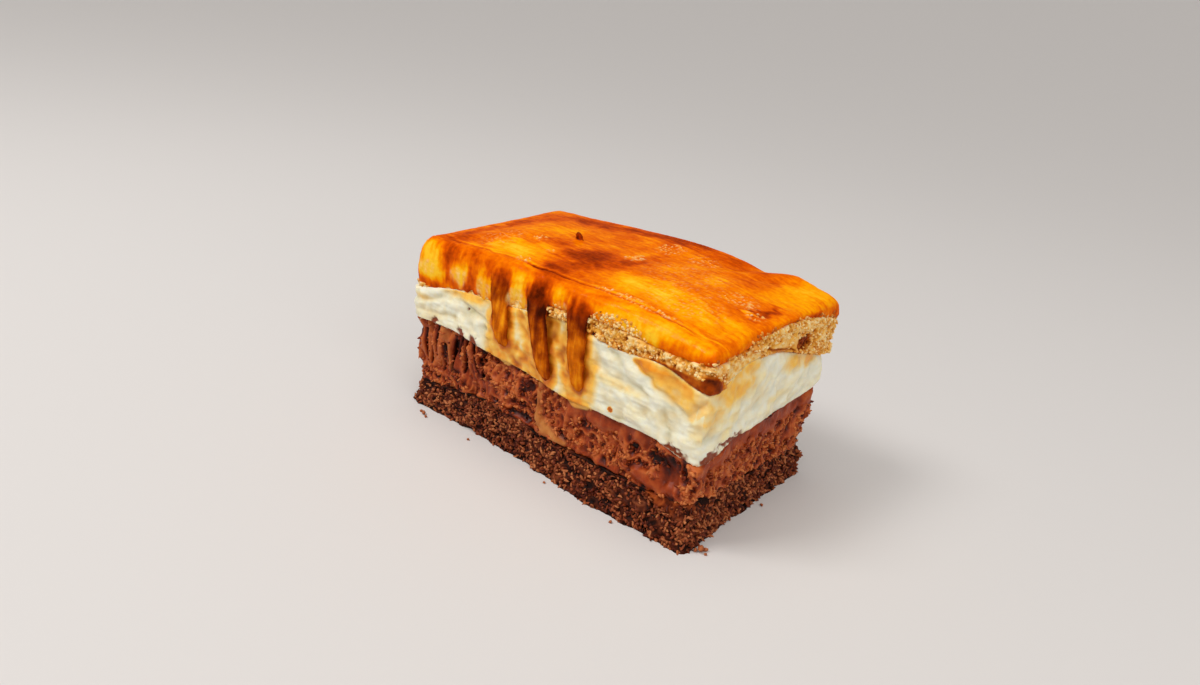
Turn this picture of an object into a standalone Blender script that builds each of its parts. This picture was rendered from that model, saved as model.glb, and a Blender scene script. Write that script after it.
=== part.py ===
"""A mini layered cream cake, cut as a small bar.

Five layers run right through it: a chocolate sponge base, chocolate mousse, a thick layer of
cheese cream, a thin vanilla sponge and a toasted egg-yolk glaze, whose caramel has run down
the long front side in three drips. Each layer is a closed solid of its own.

Lengths below are in millimetres. X runs along the bar, -Y is its long front side and Z is up.
"""

import math

import bmesh
import bpy
from mathutils import Vector, noise

MM = 0.001

# The bar as cut: four straight sides with corners that are just rounded.
LENGTH = 96.4
WIDTH = 54.9
CORNER_RADIUS = 2.0

# Neighbouring layers keep this gap. It is closed by eye, not by the mesh.
GAP = 0.3

# Points round the bar, and how far in from the side a layer's face is level again.
STATIONS = 124
RIM = 6.0

# Every table runs round the bar from corner to corner: front left to right, right side front to
# back, back right to left, left side back to front. Each side's values are evenly spaced and
# start at its first corner, and the next side holds its last.

# Heights where one layer meets the next.
SPONGE_TOP = {
    "front": (7.2, 8.8, 11.2, 10.0, 9.2, 9.3, 9.6),
    "right": (11.0, 10.2, 9.0, 9.3),
    "back": (9.8, 8.8, 9.4, 10.2, 9.0, 8.4),
    "left": (8.6, 8.0, 7.6),
}
MOUSSE_TOP = {
    "front": (26.2, 26.6, 25.0, 24.4, 22.9, 23.2, 23.6),
    "right": (21.4, 23.8, 24.2, 24.8),
    "back": (26.0, 24.8, 24.0, 24.8, 25.2, 24.4),
    "left": (24.4, 25.2, 25.0),
}
CREAM_TOP = {
    "front": (36.2, 38.6, 39.8, 41.2, 42.8, 41.0, 42.0),
    "right": (39.2, 42.9, 42.1, 38.6),
    "back": (36.4, 38.4, 39.6, 40.2, 39.2, 38.0),
    "left": (37.4, 37.2, 36.6),
}
VANILLA_TOP = {
    "front": (37.7, 40.0, 41.3, 43.6, 45.6, 46.0, 45.3),
    "right": (45.9, 47.2, 48.6, 47.2),
    "back": (44.8, 43.8, 42.6, 42.4, 41.4, 40.4),
    "left": (39.4, 39.0, 38.4),
}
# The shoulder where the flat top of the glaze turns down over the side, and how far in it stands.
GLAZE_SHOULDER = {
    "front": (50.0, 51.0, 51.8, 52.0, 52.2, 52.4, 51.6),
    "right": (50.0, 50.9, 51.4, 51.6),
    "back": (52.2, 54.0, 52.4, 53.7, 54.4, 54.5, 54.3, 53.8, 53.4, 52.8, 52.1, 51.8),
    "left": (51.4, 50.8, 50.4),
}
SHOULDER_INSET = {
    "front": (2.2, 2.8, 3.0, 4.0, 4.4, 4.4, 4.6),
    "right": (4.8, 3.8, 3.2, 2.4),
    "back": (2.2, 2.0, 2.0, 2.0, 2.0, 2.0),
    "left": (2.4, 2.4, 2.4),
}
# The shoulder's turn: how late it leaves the side, and how soon it rises.
SHOULDER_ROUND = 1.15
SHOULDER_LIFT = 0.8
SHOULDER_STEPS = 6
# The top is level here, in the middle.
CROWN_HEIGHT = 53.6

# How far each layer stands out from the straight side, at its foot or all the way up.
FOOT_FLARE = {
    "front": (1.3, 0.8, 0.7, 1.2, 2.6, 3.1, 3.0),
    "right": (2.0, 1.3, 1.2, 1.2),
    "back": (1.4, 1.5, 1.3, 1.6, 1.4, 1.5),
    "left": (2.0, 1.8, 1.5),
}
MOUSSE_SWELL = {
    "front": (0.1, -0.5, -0.7, -0.7, -0.9, -0.8, -0.2),
    "right": (0.3, 0.2, 0.1, 0.3),
    "back": (0.4, 0.0, -0.4, -0.2, -0.5, -0.2),
    "left": (0.2, 0.4, 0.6),
}
MOUSSE_UNDERCUT = {
    "front": (0.6, 0.4, -0.7, -0.6, -0.4, 0.2, 0.2),
    "right": (0.4, 0.6, 0.6, 0.8),
    "back": (1.0, 0.4, 0.2, 0.4, 0.2, 0.6),
    "left": (1.2, 1.0, 0.8),
}
CREAM_SWELL = {
    "front": (1.3, 0.4, 0.1, 0.1, 0.1, 0.2, 0.3),
    "right": (0.3, 0.3, 0.1, 0.2),
    "back": (0.4, 0.3, 0.1, 0.3, 0.1, 0.4),
    "left": (0.8, 1.0, 1.2),
}
VANILLA_SWELL = {
    "front": (0.9, -0.1, 0.0, 0.0, 0.2, 0.3, 0.3),
    "right": (0.4, 0.2, 0.9, 1.7),
    "back": (1.6, 0.5, 0.2, 0.3, 0.1, 0.2),
    "left": (0.3, 0.4, 0.7),
}

# Relief of each side: the size of its lumps and how deep they are. The mousse is torn upwards.
CRUMB_LUMPS = (3.2, 1.1)
MOUSSE_TEARS = (4.6, 1.7)
MOUSSE_STRETCH = 2.0
# The base's upper edge follows the mousse's cut foot by this share.
SPONGE_FOLLOWS = 0.4
CREAM_FOLDS = (8.0, 0.55)
CREAM_BELLY = 0.5
VANILLA_LUMPS = (3.6, 0.5)
GLAZE_FOLDS = (7.0, 0.45)
CROWN_WAVES = (14.0, 0.5)
# The glaze hangs this far over the sponge below it.
GLAZE_OVERHANG = 0.45
# Rings of the top, each with its inset and how much of the crown's height it has.
CROWN_RINGS = ((9.0, 0.35), (14.5, 0.75), (20.0, 1.0))

# Bands up the side of each layer.
SIDE_BANDS = {"sponge_base": 4, "chocolate_mousse": 6, "cream_layer": 5, "vanilla_sponge": 2}

# Caramel drips on the front side: place along X, lowest point, width at the tip, thickness, and
# how much of that width a drip has where it leaves the shoulder.
DRIPS = {
    "drip_short": {"top_x": -17.8, "tip_x": -13.2, "tip_z": 29.3, "width": 5.8, "depth": 1.2,
                   "neck": 1.1},
    "drip_long": {"top_x": -4.4, "tip_x": 2.2, "tip_z": 25.4, "width": 5.2, "depth": 1.4,
                  "neck": 1.45},
    "drip_wide": {"top_x": 9.8, "tip_x": 12.8, "tip_z": 26.7, "width": 4.8, "depth": 1.3,
                  "neck": 1.5},
}
DRIP_SIDES = 12
DRIP_UPPER = 3
DRIP_LOWER = 8
# Its depth at the neck and how soon it fills, as shares of the full depth, and how small and how
# blunt its tip is.
DRIP_FILM = 0.45
DRIP_FILLING = 1.6
DRIP_TIP = 0.25
DRIP_BLUNT = 12
# A drip leaves the shoulder this far below it, and keeps clear of the layers it hangs over.
DRIP_START = 1.2
DRIP_CLEAR = 0.1
# What lies behind it is read at these places across its half width, and so far up and down.
ACROSS = (-1.0, -0.5, 0.0, 0.5, 1.0)
DRIP_CHECK = 1.5

# A curl of burnt caramel that stands on the top.
FLAKE_PLACE = (-15.0, -0.4)
FLAKE_SIZE = (2.8, 1.2, 2.9)
FLAKE_SINK = 0.5
FLAKE_LEAN = 0.35
FLAKE_POINT = 0.9

# Base colour, roughness and how far light goes in, for each layer.
FINISHES = {
    "sponge_base": ((0.115, 0.040, 0.018, 1.0), 0.85, 0.0),
    "chocolate_mousse": ((0.195, 0.050, 0.018, 1.0), 0.50, 0.05),
    "cream_layer": ((0.860, 0.820, 0.640, 1.0), 0.45, 0.10),
    "vanilla_sponge": ((0.800, 0.480, 0.170, 1.0), 0.80, 0.05),
    "yolk_glaze": ((0.950, 0.270, 0.005, 1.0), 0.18, 0.10),
}


def outline_point(station):
    """Give the corner centre line and the outward direction at a station of the outline."""
    half_x = LENGTH / 2 - CORNER_RADIUS
    half_y = WIDTH / 2 - CORNER_RADIUS
    arc = CORNER_RADIUS * math.pi / 2
    runs = (2 * half_x, arc, 2 * half_y, arc, 2 * half_x, arc, 2 * half_y, arc)
    left = station % 1.0 * sum(runs)
    corners = [(-half_x, -half_y), (half_x, -half_y), (half_x, half_y), (-half_x, half_y)]
    for index, run in enumerate(runs):
        if left <= run:
            break
        left -= run
    side, turning = divmod(index, 2)
    here = Vector(corners[side])
    there = Vector(corners[(side + 1) % 4])
    facing = -math.pi / 2 + side * math.pi / 2
    if turning:
        centre = there
        facing += left / run * math.pi / 2
    else:
        centre = here.lerp(there, left / run)
    return centre, Vector((math.cos(facing), math.sin(facing)))


def outline_at(station, inset):
    """Give the point of the outline at a station, moved in from the side by an inset."""
    centre, outward = outline_point(station)
    half_x = LENGTH / 2 - CORNER_RADIUS
    half_y = WIDTH / 2 - CORNER_RADIUS
    core = Vector((centre.x * (half_x - inset) / half_x, centre.y * (half_y - inset) / half_y))
    return core + outward * CORNER_RADIUS


def read_round(table, station):
    """Read a table that runs round the bar, smoothly between its values."""
    starts = (0.0, LENGTH, LENGTH + WIDTH, 2 * LENGTH + WIDTH)
    spans = (LENGTH, WIDTH, LENGTH, WIDTH)
    sides = ("front", "right", "back", "left")
    distance = station % 1.0 * 2 * (LENGTH + WIDTH)
    values = [value for side in sides for value in table[side]]
    places = [start + span * step / len(table[side])
              for side, start, span in zip(sides, starts, spans)
              for step in range(len(table[side]))]
    places.append(2 * (LENGTH + WIDTH))
    index = max(i for i, place in enumerate(places[:-1]) if place <= distance)
    part = (distance - places[index]) / (places[index + 1] - places[index])
    before, here, there, after = (values[(index + step) % len(values)] for step in (-1, 0, 1, 2))
    bend = 2 * here + (there - before) * part
    bend += (2 * before - 5 * here + 4 * there - after) * part ** 2
    bend += (3 * here - before - 3 * there + after) * part ** 3
    return bend / 2


def mean_of(table):
    """Give the mean of a table that runs round the bar."""
    values = [value for side in table.values() for value in side]
    return sum(values) / len(values)


def crags(point, size, depth, stretch=1.0):
    """Give uneven relief at a point: lumps of a size, so deep, drawn out upwards by a stretch."""
    place = Vector((point.x / size, point.y / size, point.z / size / stretch))
    return depth * (noise.noise(place) + 0.5 * noise.noise(place * 2.3))


def sponge_swell(station, point, part):
    """The base spreads to its foot, in clots of crumb, and ends where the mousse begins."""
    foot = read_round(FOOT_FLARE, station)
    head = -SPONGE_FOLLOWS * read_round(MOUSSE_UNDERCUT, station)
    return head + (foot - head) * (1 - part) + crags(point, *CRUMB_LUMPS)


def mousse_swell(station, point, part):
    """The mousse is torn upwards, and cut away or sagging where it meets the base."""
    cut = read_round(MOUSSE_UNDERCUT, station) * (1 - part) ** 2
    return read_round(MOUSSE_SWELL, station) - cut + crags(point, *MOUSSE_TEARS, MOUSSE_STRETCH)


def cream_swell(station, point, part):
    """The cream bellies out between the layers in soft folds."""
    belly = CREAM_BELLY * math.sin(math.pi * part)
    return read_round(CREAM_SWELL, station) + belly + crags(point, *CREAM_FOLDS)


def vanilla_swell(station, point, part):
    """The thin sponge follows the cream, and swells where it was pressed out."""
    return read_round(VANILLA_SWELL, station) + crags(point, *VANILLA_LUMPS)


def glaze_swell(station, point, part):
    """The glaze hangs just over the sponge in soft folds that run down the side."""
    folds = crags(Vector((point.x, point.y, 0.0)), *GLAZE_FOLDS)
    return read_round(VANILLA_SWELL, station) + GLAZE_OVERHANG + folds


def level_ring(table, lift):
    """Give the inner ring of a face between layers, where the face is level."""
    ring = []
    for index in range(STATIONS):
        place = outline_at(index / STATIONS, RIM)
        ring.append(Vector((place.x, place.y, mean_of(table) + lift)))
    return ring


def edge_ring(table, lift, swell, part):
    """Give a layer's own edge of a face between layers, which slopes on from the level part."""
    level = mean_of(table)
    ring = []
    for index in range(STATIONS):
        station = index / STATIONS
        height = read_round(table, station)
        side = outline_at(station, 0.0)
        out = swell(station, Vector((side.x, side.y, height)), part)
        place = outline_at(station, -out)
        ring.append(Vector((place.x, place.y, level + (height - level) * (1 + out / RIM) + lift)))
    return ring


def side_ring(low, high, swell, part):
    """Give a ring up a layer's side, a part of the way from its low edge to its high edge."""
    ring = []
    for index in range(STATIONS):
        station = index / STATIONS
        height = low[index].z + (high[index].z - low[index].z) * part
        side = outline_at(station, 0.0)
        out = swell(station, Vector((side.x, side.y, height)), part)
        place = outline_at(station, -out)
        ring.append(Vector((place.x, place.y, height)))
    return ring


def move_to(verts, ring):
    """Put the vertices of a loop on the points of a ring."""
    for vert, point in zip(verts, ring):
        vert.co = point * MM


def width_of(ring):
    """Give how wide a ring is along X."""
    return max(point.x for point in ring) - min(point.x for point in ring)


def loft(name, rings):
    """Join rings of points into one closed body, with a face over each end.

    Each square between two rings is split from the wider ring to the next point of the
    narrower one, so that two layers that meet are split alike.
    """
    mesh = bmesh.new()
    bmesh.ops.create_circle(mesh, cap_ends=True, segments=len(rings[0]), radius=1.0)
    loop = list(mesh.verts)
    edges = list(mesh.edges)
    move_to(loop, rings[0])
    for below, ring in zip(rings, rings[1:]):
        raised = bmesh.ops.extrude_edge_only(mesh, edges=edges)["geom"]
        above = {vert for vert in raised if isinstance(vert, bmesh.types.BMVert)}
        edges = [edge for edge in raised if isinstance(edge, bmesh.types.BMEdge)]
        upper = [next(edge.other_vert(vert) for edge in vert.link_edges
                      if edge.other_vert(vert) in above) for vert in loop]
        move_to(upper, ring)
        wide, narrow = (loop, upper) if width_of(below) > width_of(ring) else (upper, loop)
        for index, vert in enumerate(wide):
            bmesh.ops.connect_verts(mesh, verts=[vert, narrow[(index + 1) % len(narrow)]])
        loop = upper
    bmesh.ops.edgeloop_fill(mesh, edges=edges)
    bmesh.ops.recalc_face_normals(mesh, faces=mesh.faces)
    data = bpy.data.meshes.new(name)
    mesh.to_mesh(data)
    mesh.free()
    return bpy.data.objects.new(name, data)


def sponge_base():
    """The base: a flat underside, a spread foot and a crumbly side."""
    name = "sponge_base"
    floor = {side: (0.0,) * len(values) for side, values in SPONGE_TOP.items()}
    foot = edge_ring(floor, 0.0, sponge_swell, 0.0)
    edge = edge_ring(SPONGE_TOP, 0.0, sponge_swell, 1.0)
    bands = SIDE_BANDS[name]
    rings = [foot]
    rings += [side_ring(foot, edge, sponge_swell, band / bands) for band in range(1, bands)]
    rings += [edge, level_ring(SPONGE_TOP, 0.0)]
    return loft(name, rings)


def layer(name, low_table, high_table, swell):
    """Build a layer between two tables of heights, with its side shaped by a swell."""
    low = edge_ring(low_table, GAP, swell, 0.0)
    high = edge_ring(high_table, 0.0, swell, 1.0)
    bands = SIDE_BANDS[name]
    rings = [level_ring(low_table, GAP), low]
    rings += [side_ring(low, high, swell, band / bands) for band in range(1, bands)]
    rings += [high, level_ring(high_table, 0.0)]
    return loft(name, rings)


def shoulder_ring(edge, angle):
    """Give a ring of the glaze's shoulder, from its lower edge at 0 to its flat top at 90 degrees."""
    ring = []
    for index in range(STATIONS):
        station = index / STATIONS
        out = glaze_swell(station, edge[index], 0.0)
        inset = read_round(SHOULDER_INSET, station) + out
        rise = read_round(GLAZE_SHOULDER, station) - edge[index].z
        place = outline_at(station, -out + inset * (1 - math.cos(angle)) ** SHOULDER_ROUND)
        height = edge[index].z + rise * math.sin(angle) ** SHOULDER_LIFT
        ring.append(Vector((place.x, place.y, height)))
    return ring


def crown_ring(inset, share):
    """Give a ring of the glaze's top, a share of the way up from the shoulder to the crown."""
    ring = []
    for index in range(STATIONS):
        station = index / STATIONS
        shoulder = read_round(GLAZE_SHOULDER, station)
        place = outline_at(station, inset)
        waves = crags(Vector((place.x, place.y, 0.0)), *CROWN_WAVES) * (1 - share)
        height = shoulder + (CROWN_HEIGHT - shoulder) * share + waves
        ring.append(Vector((place.x, place.y, height)))
    return ring


def glaze_body():
    """The glaze: a lower edge, a rounded shoulder, and a top that crowns slightly."""
    edge = edge_ring(VANILLA_TOP, GAP, glaze_swell, 0.0)
    quarter = math.pi / 2
    rings = [level_ring(VANILLA_TOP, GAP), edge]
    rings += [shoulder_ring(edge, quarter * step / SHOULDER_STEPS)
              for step in range(1, SHOULDER_STEPS + 1)]
    rings += [crown_ring(inset, share) for inset, share in CROWN_RINGS]
    return loft("yolk_glaze", rings)


def front_station(x):
    """Give the station of a point of the front side at X."""
    half_x = LENGTH / 2 - CORNER_RADIUS
    around = 2 * (2 * half_x + WIDTH - 2 * CORNER_RADIUS) + 2 * math.pi * CORNER_RADIUS
    return (x + half_x) / around


def glaze_reach(x, height):
    """Give how far the glaze's side stands out at a height of the front."""
    station = front_station(x)
    edge = read_round(VANILLA_TOP, station) + GAP
    place = outline_at(station, 0.0)
    out = glaze_swell(station, Vector((place.x, place.y, edge)), 0)
    rise = read_round(GLAZE_SHOULDER, station) - edge
    lift = min(1.0, max(0.0, (height - edge) / rise))
    angle = math.asin(lift ** (1 / SHOULDER_LIFT))
    return out - (read_round(SHOULDER_INSET, station) + out) * (1 - math.cos(angle)) ** SHOULDER_ROUND


def reach_behind(x, height, half_width):
    """Give the furthest that the cream and the vanilla sponge stand out behind a drip."""
    furthest = -WIDTH
    for across in ACROSS:
        station = front_station(x + across * half_width)
        place = outline_at(station, 0.0)
        for low, high, swell in ((MOUSSE_TOP, CREAM_TOP, cream_swell),
                                 (CREAM_TOP, VANILLA_TOP, vanilla_swell)):
            bottom = read_round(low, station)
            top = read_round(high, station)
            if bottom - DRIP_CHECK <= height <= top + DRIP_CHECK:
                part = min(1.0, max(0.0, (height - bottom) / (top - bottom)))
                point = Vector((place.x, place.y, bottom + (top - bottom) * part))
                furthest = max(furthest, swell(station, point, part))
    return furthest


def drip_heights(top_z, edge_z, tip_z):
    """Give a drip's levels: a few down the glaze, then closer and closer towards its tip."""
    upper = [top_z + (edge_z - top_z) * step / DRIP_UPPER for step in range(DRIP_UPPER)]
    lower = [edge_z + (tip_z - edge_z) * math.sin(math.pi / 2 * step / DRIP_LOWER)
             for step in range(DRIP_LOWER + 1)]
    return upper + lower


def drip(name, top_x, tip_x, tip_z, width, depth, neck):
    """A run of caramel: thin where it leaves the shoulder, full above its round tip."""
    top_z = read_round(GLAZE_SHOULDER, front_station(top_x)) - DRIP_START
    edge_z = 2 * GAP + max(read_round(VANILLA_TOP, front_station(top_x + across * width))
                           for across in ACROSS)
    rings = []
    for height in drip_heights(top_z, edge_z, tip_z):
        part = (top_z - height) / (top_z - tip_z)
        x = top_x + (tip_x - top_x) * part
        taper = max(DRIP_TIP, math.sqrt(max(0.0, 1 - part ** DRIP_BLUNT)))
        half_width = width / 2 * (neck + (1 - neck) * part) * taper
        half_depth = depth / 2 * min(1.0, DRIP_FILM + DRIP_FILLING * part) * taper
        if height > edge_z:
            sunk = (height - edge_z) / (top_z - edge_z)
            out = glaze_reach(x, height) - half_depth * sunk
        else:
            out = reach_behind(x, height, half_width) + GAP + DRIP_CLEAR + half_depth
        ring = []
        for side in range(DRIP_SIDES):
            angle = 2 * math.pi * side / DRIP_SIDES
            ring.append(Vector((x + half_width * math.cos(angle),
                                -WIDTH / 2 - out + half_depth * math.sin(angle), height)))
        rings.append(ring)
    return loft(name, rings)


def flake():
    """The burnt curl: a small leaning lens, sunk a little into the glaze."""
    mesh = bmesh.new()
    bmesh.ops.create_icosphere(mesh, subdivisions=2, radius=0.5)
    length, thickness, height = FLAKE_SIZE
    for vert in mesh.verts:
        lean = vert.co.z * FLAKE_LEAN
        narrow = 1 - FLAKE_POINT * max(0.0, vert.co.z)
        vert.co = Vector(((vert.co.x * narrow - lean) * length,
                          vert.co.y * narrow * thickness, vert.co.z * height))
        place = Vector((*FLAKE_PLACE, CROWN_HEIGHT + height / 2 - FLAKE_SINK))
        vert.co = (vert.co + place) * MM
    data = bpy.data.meshes.new("caramel_flake")
    mesh.to_mesh(data)
    mesh.free()
    return bpy.data.objects.new("caramel_flake", data)


def fuse(body, pieces):
    """Join pieces to a body as one closed solid, and remove the pieces."""
    gathered = bpy.data.collections.new("fused_on")
    bpy.context.scene.collection.children.link(gathered)
    for piece in pieces:
        gathered.objects.link(piece)
    union = body.modifiers.new("union", "BOOLEAN")
    union.operation = "UNION"
    union.operand_type = "COLLECTION"
    union.collection = gathered
    union.solver = "EXACT"
    view = bpy.context.evaluated_depsgraph_get()
    joined = bpy.data.meshes.new_from_object(body.evaluated_get(view))
    body.modifiers.clear()
    body.data = joined
    for piece in pieces:
        bpy.data.objects.remove(piece)
    bpy.data.collections.remove(gathered)


def finish(obj):
    """Give a layer its own material."""
    colour, roughness, depth = FINISHES[obj.name]
    material = bpy.data.materials.new(obj.name)
    material.use_nodes = True
    shader = material.node_tree.nodes["Principled BSDF"]
    shader.inputs["Base Color"].default_value = colour
    shader.inputs["Roughness"].default_value = roughness
    shader.inputs["Metallic"].default_value = 0.0
    shader.inputs["Subsurface Weight"].default_value = depth
    obj.data.materials.clear()
    obj.data.materials.append(material)


def stand_on_origin(objects):
    """Move all layers together, so that the middle of their box stands on the origin."""
    points = [vert.co for obj in objects for vert in obj.data.vertices]
    middle_x = (min(p.x for p in points) + max(p.x for p in points)) / 2
    middle_y = (min(p.y for p in points) + max(p.y for p in points)) / 2
    lowest = min(p.z for p in points)
    for obj in objects:
        for vert in obj.data.vertices:
            vert.co -= Vector((middle_x, middle_y, lowest))
    print(f"the outline's middle lies at {-middle_x / MM:.3f}, {-middle_y / MM:.3f} mm")


for old in list(bpy.data.objects):
    bpy.data.objects.remove(old)

cake = bpy.data.collections.new("mini_layered_cream_cake")
bpy.context.scene.collection.children.link(cake)

layers = [
    sponge_base(),
    layer("chocolate_mousse", SPONGE_TOP, MOUSSE_TOP, mousse_swell),
    layer("cream_layer", MOUSSE_TOP, CREAM_TOP, cream_swell),
    layer("vanilla_sponge", CREAM_TOP, VANILLA_TOP, vanilla_swell),
    glaze_body(),
]
for obj in layers:
    cake.objects.link(obj)
fuse(layers[-1], [drip(name, **sizes) for name, sizes in DRIPS.items()] + [flake()])
for obj in layers:
    finish(obj)
stand_on_origin(layers)
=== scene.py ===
"""The looks of a mini layered cheesecake: crumb, mousse, cream, thin sponge and toasted glaze.

Each layer is a fine copy of its CAD solid, worked over in relief and marked by rules of place,
and loose crumb lies on it as true mesh. Lengths in rules and tables are in millimetres. X runs
along the bar, Y from its front to its back, and Z up.
"""
import math

import bmesh
import bpy
import numpy as np
from mathutils import Matrix, Vector, noise
from mathutils.bvhtree import BVHTree


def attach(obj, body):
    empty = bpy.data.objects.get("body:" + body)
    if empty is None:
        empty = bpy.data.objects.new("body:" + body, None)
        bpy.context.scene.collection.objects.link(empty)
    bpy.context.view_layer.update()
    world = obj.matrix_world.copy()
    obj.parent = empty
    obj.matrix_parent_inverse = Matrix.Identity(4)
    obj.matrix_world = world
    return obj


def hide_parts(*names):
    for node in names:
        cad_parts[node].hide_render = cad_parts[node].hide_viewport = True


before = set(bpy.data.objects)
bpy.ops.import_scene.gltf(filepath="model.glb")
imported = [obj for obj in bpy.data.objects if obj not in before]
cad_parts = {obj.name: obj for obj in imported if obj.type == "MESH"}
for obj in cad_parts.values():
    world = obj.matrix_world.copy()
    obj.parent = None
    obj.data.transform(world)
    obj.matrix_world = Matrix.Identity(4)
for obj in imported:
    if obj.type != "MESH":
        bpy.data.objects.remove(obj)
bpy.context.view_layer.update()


# ------------------------------------------------------------------ The chocolate sponge base
# A sheet of dark chocolate sponge carries the cake. The knife has torn its sides open, so they
# show curly threads of crumb with near-black gaps, and its foot spreads a little.

MM = 0.001
SPONGE_CELL = 0.292
# Half of the block between its cut sides, and how far inside them the level faces are hidden.
HALF_LENGTH = 48.2
HALF_WIDTH = 27.45
LEVEL_INSET = 6.3
# How far a level face is let out, to close most of the gap to the next layer.
CLOSE_GAP = 0.2
# The size of the clumps and of the threads of crumb, and how far each stands out.
SPONGE_CLUMP = 2.7
SPONGE_CLUMP_OUT = 0.6
SPONGE_THREAD = 1.7
SPONGE_THREAD_OUT = 0.9
# How far the torn side is let in first, so that they end near the solid's own side.
SPONGE_LET_IN = 1.1
# What lies in front of here along Y belongs to the front.
FRONT_FROM = -20.0
# Mousse pulled down over the crumb near the front right corner, as place and reach.
SPONGE_SMEAR = ((42.5, 9.6), (7.5, 2.6))
# How lumpy a loose crumb is.
CRUMB_LUMP = 0.45


def add_object(name, data):
    """Put a mesh, a light or a camera in the scene."""
    thing = bpy.data.objects.new(name, data)
    bpy.context.scene.collection.objects.link(thing)
    return thing


def keep_mesh(mesh, name):
    """Turn a finished bmesh into a smooth mesh, and let the bmesh go."""
    data = bpy.data.meshes.new(name)
    mesh.to_mesh(data)
    mesh.free()
    data.shade_smooth()
    return data


def fine_copy(node, name, cell, hidden_below=1000.0):
    """Copy a CAD layer as an even fine mesh, and leave its level hidden faces whole."""
    mesh = bmesh.new()
    mesh.from_mesh(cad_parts[node].data)
    bmesh.ops.remove_doubles(mesh, verts=mesh.verts, dist=1e-6)
    piece = add_object(name, keep_mesh(mesh, name))
    even = piece.modifiers.new("even", "REMESH")
    even.mode = "VOXEL"
    even.voxel_size = cell * MM
    view = bpy.context.evaluated_depsgraph_get()
    fine = bpy.data.meshes.new_from_object(piece.evaluated_get(view))
    piece.modifiers.clear()
    mesh = bmesh.new()
    mesh.from_mesh(fine)
    hidden = []
    for face in mesh.faces:
        centre = face.calc_center_median() / MM
        inside = (abs(centre.x) < HALF_LENGTH - LEVEL_INSET
                  and abs(centre.y) < HALF_WIDTH - LEVEL_INSET)
        if inside and abs(face.normal.z) > 0.9 and centre.z < hidden_below:
            hidden.append(face)
    bmesh.ops.delete(mesh, geom=hidden, context="FACES")
    rim = [edge for edge in mesh.edges if edge.is_boundary]
    bmesh.ops.holes_fill(mesh, edges=rim, sides=0)
    bmesh.ops.smooth_vert(mesh, verts=mesh.verts, factor=0.5, use_axis_x=True, use_axis_y=True,
                          use_axis_z=True)
    bmesh.ops.recalc_face_normals(mesh, faces=mesh.faces)
    piece.data = keep_mesh(mesh, name)
    return piece


def work_over(piece, rule, marks):
    """Move each vertex along its outward direction as a rule says, and keep the rule's marks."""
    mesh = piece.data
    count = len(mesh.vertices)
    places = np.empty(3 * count)
    outward = np.empty(3 * count)
    mesh.vertices.foreach_get("co", places)
    mesh.vertex_normals.foreach_get("vector", outward)
    places = places.reshape(-1, 3)
    outward = outward.reshape(-1, 3)
    found = [rule(Vector(place) / MM, Vector(facing)) for place, facing in zip(places, outward)]
    moves = np.array([result[0] for result in found])
    moved = places + outward * moves[:, None] * MM
    moved[:, 2] = np.maximum(moved[:, 2], 0.0)
    mesh.vertices.foreach_set("co", moved.astype(np.float32).ravel())
    for index, mark in enumerate(marks):
        kept = mesh.attributes.new(mark, "FLOAT", "POINT")
        kept.data.foreach_set("value", [result[index + 1] for result in found])
    mesh.update()


def threads(place, size, sharpness, seed):
    """Give how near a place is to a curly thread of crumb: 1 on its back, 0 in the gap."""
    value = noise.noise(place / size + Vector((seed, seed * 1.7, seed * 2.3)))
    return max(0.0, 1.0 - abs(value) * sharpness)


def limit(value):
    """Keep a value between 0 and 1."""
    return min(1.0, max(0.0, value))


def soft_spot(across, up, centre, reach):
    """Give 1 in the middle of an oval spot and 0 outside it, with a soft edge."""
    apart = ((across - centre[0]) / reach[0]) ** 2 + ((up - centre[1]) / reach[1]) ** 2
    return max(0.0, 1.0 - apart)


def sponge_rule(place, facing):
    """Give the relief of the base, and its marks: crumb (painted light and shade), open and smear.
    """
    side = 1.0 - abs(facing.z)
    clump = noise.noise(place / SPONGE_CLUMP + Vector((4.0, 1.0, 7.0)))
    rise = threads(place, SPONGE_THREAD, 2.1, 0.0)
    out = side * (SPONGE_THREAD_OUT * rise + SPONGE_CLUMP_OUT * clump - SPONGE_LET_IN)
    out += CLOSE_GAP * abs(facing.z)
    # Painted light and shade: the crumb mark is high on the backs of threads and clumps, low in the
    # gaps where shade falls.
    lit = limit(0.25 + 0.5 * clump + 0.45 * rise)
    smear = 0.0
    if place.y < FRONT_FROM:
        spot = soft_spot(place.x, place.z, *SPONGE_SMEAR)
        smear = limit(spot + clump) * (spot > 0.0)
    return out, lit, max(0.0, side - 0.3) * limit(0.9 + 0.4 * clump) * (1.0 - smear), smear


def tint(code):
    """Turn a colour as it is seen, in six hexadecimal digits, into a linear one."""
    shares = [int(code[start:start + 2], 16) / 255 for start in (0, 2, 4)]
    linear = [share / 12.92 if share < 0.04045 else ((share + 0.055) / 1.055) ** 2.4
              for share in shares]
    return (*linear, 1.0)


def wire(tree, kind, inputs=(), **settings):
    """Add a node to a tree. Each input is a value, or an output that is linked to it."""
    node = tree.nodes.new(kind)
    for name, value in settings.items():
        setattr(node, name, value)
    for name, value in dict(inputs).items():
        if isinstance(value, bpy.types.NodeSocket):
            tree.links.new(value, node.inputs[name])
        else:
            node.inputs[name].default_value = value
    return node


def shade(tree, value, stops):
    """Turn a value into a colour, smoothly between stops of place and colour."""
    node = wire(tree, "ShaderNodeValToRGB", {0: value})
    elements = node.color_ramp.elements
    while len(elements) < len(stops):
        elements.new(0.5)
    for element, (place, code) in zip(elements, stops):
        element.position = place
        element.color = tint(code)
    return node.outputs["Color"]


def mark_of(tree, name):
    """Read one of the marks that a rule left on the mesh."""
    return wire(tree, "ShaderNodeAttribute", attribute_name=name).outputs["Fac"]


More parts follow.
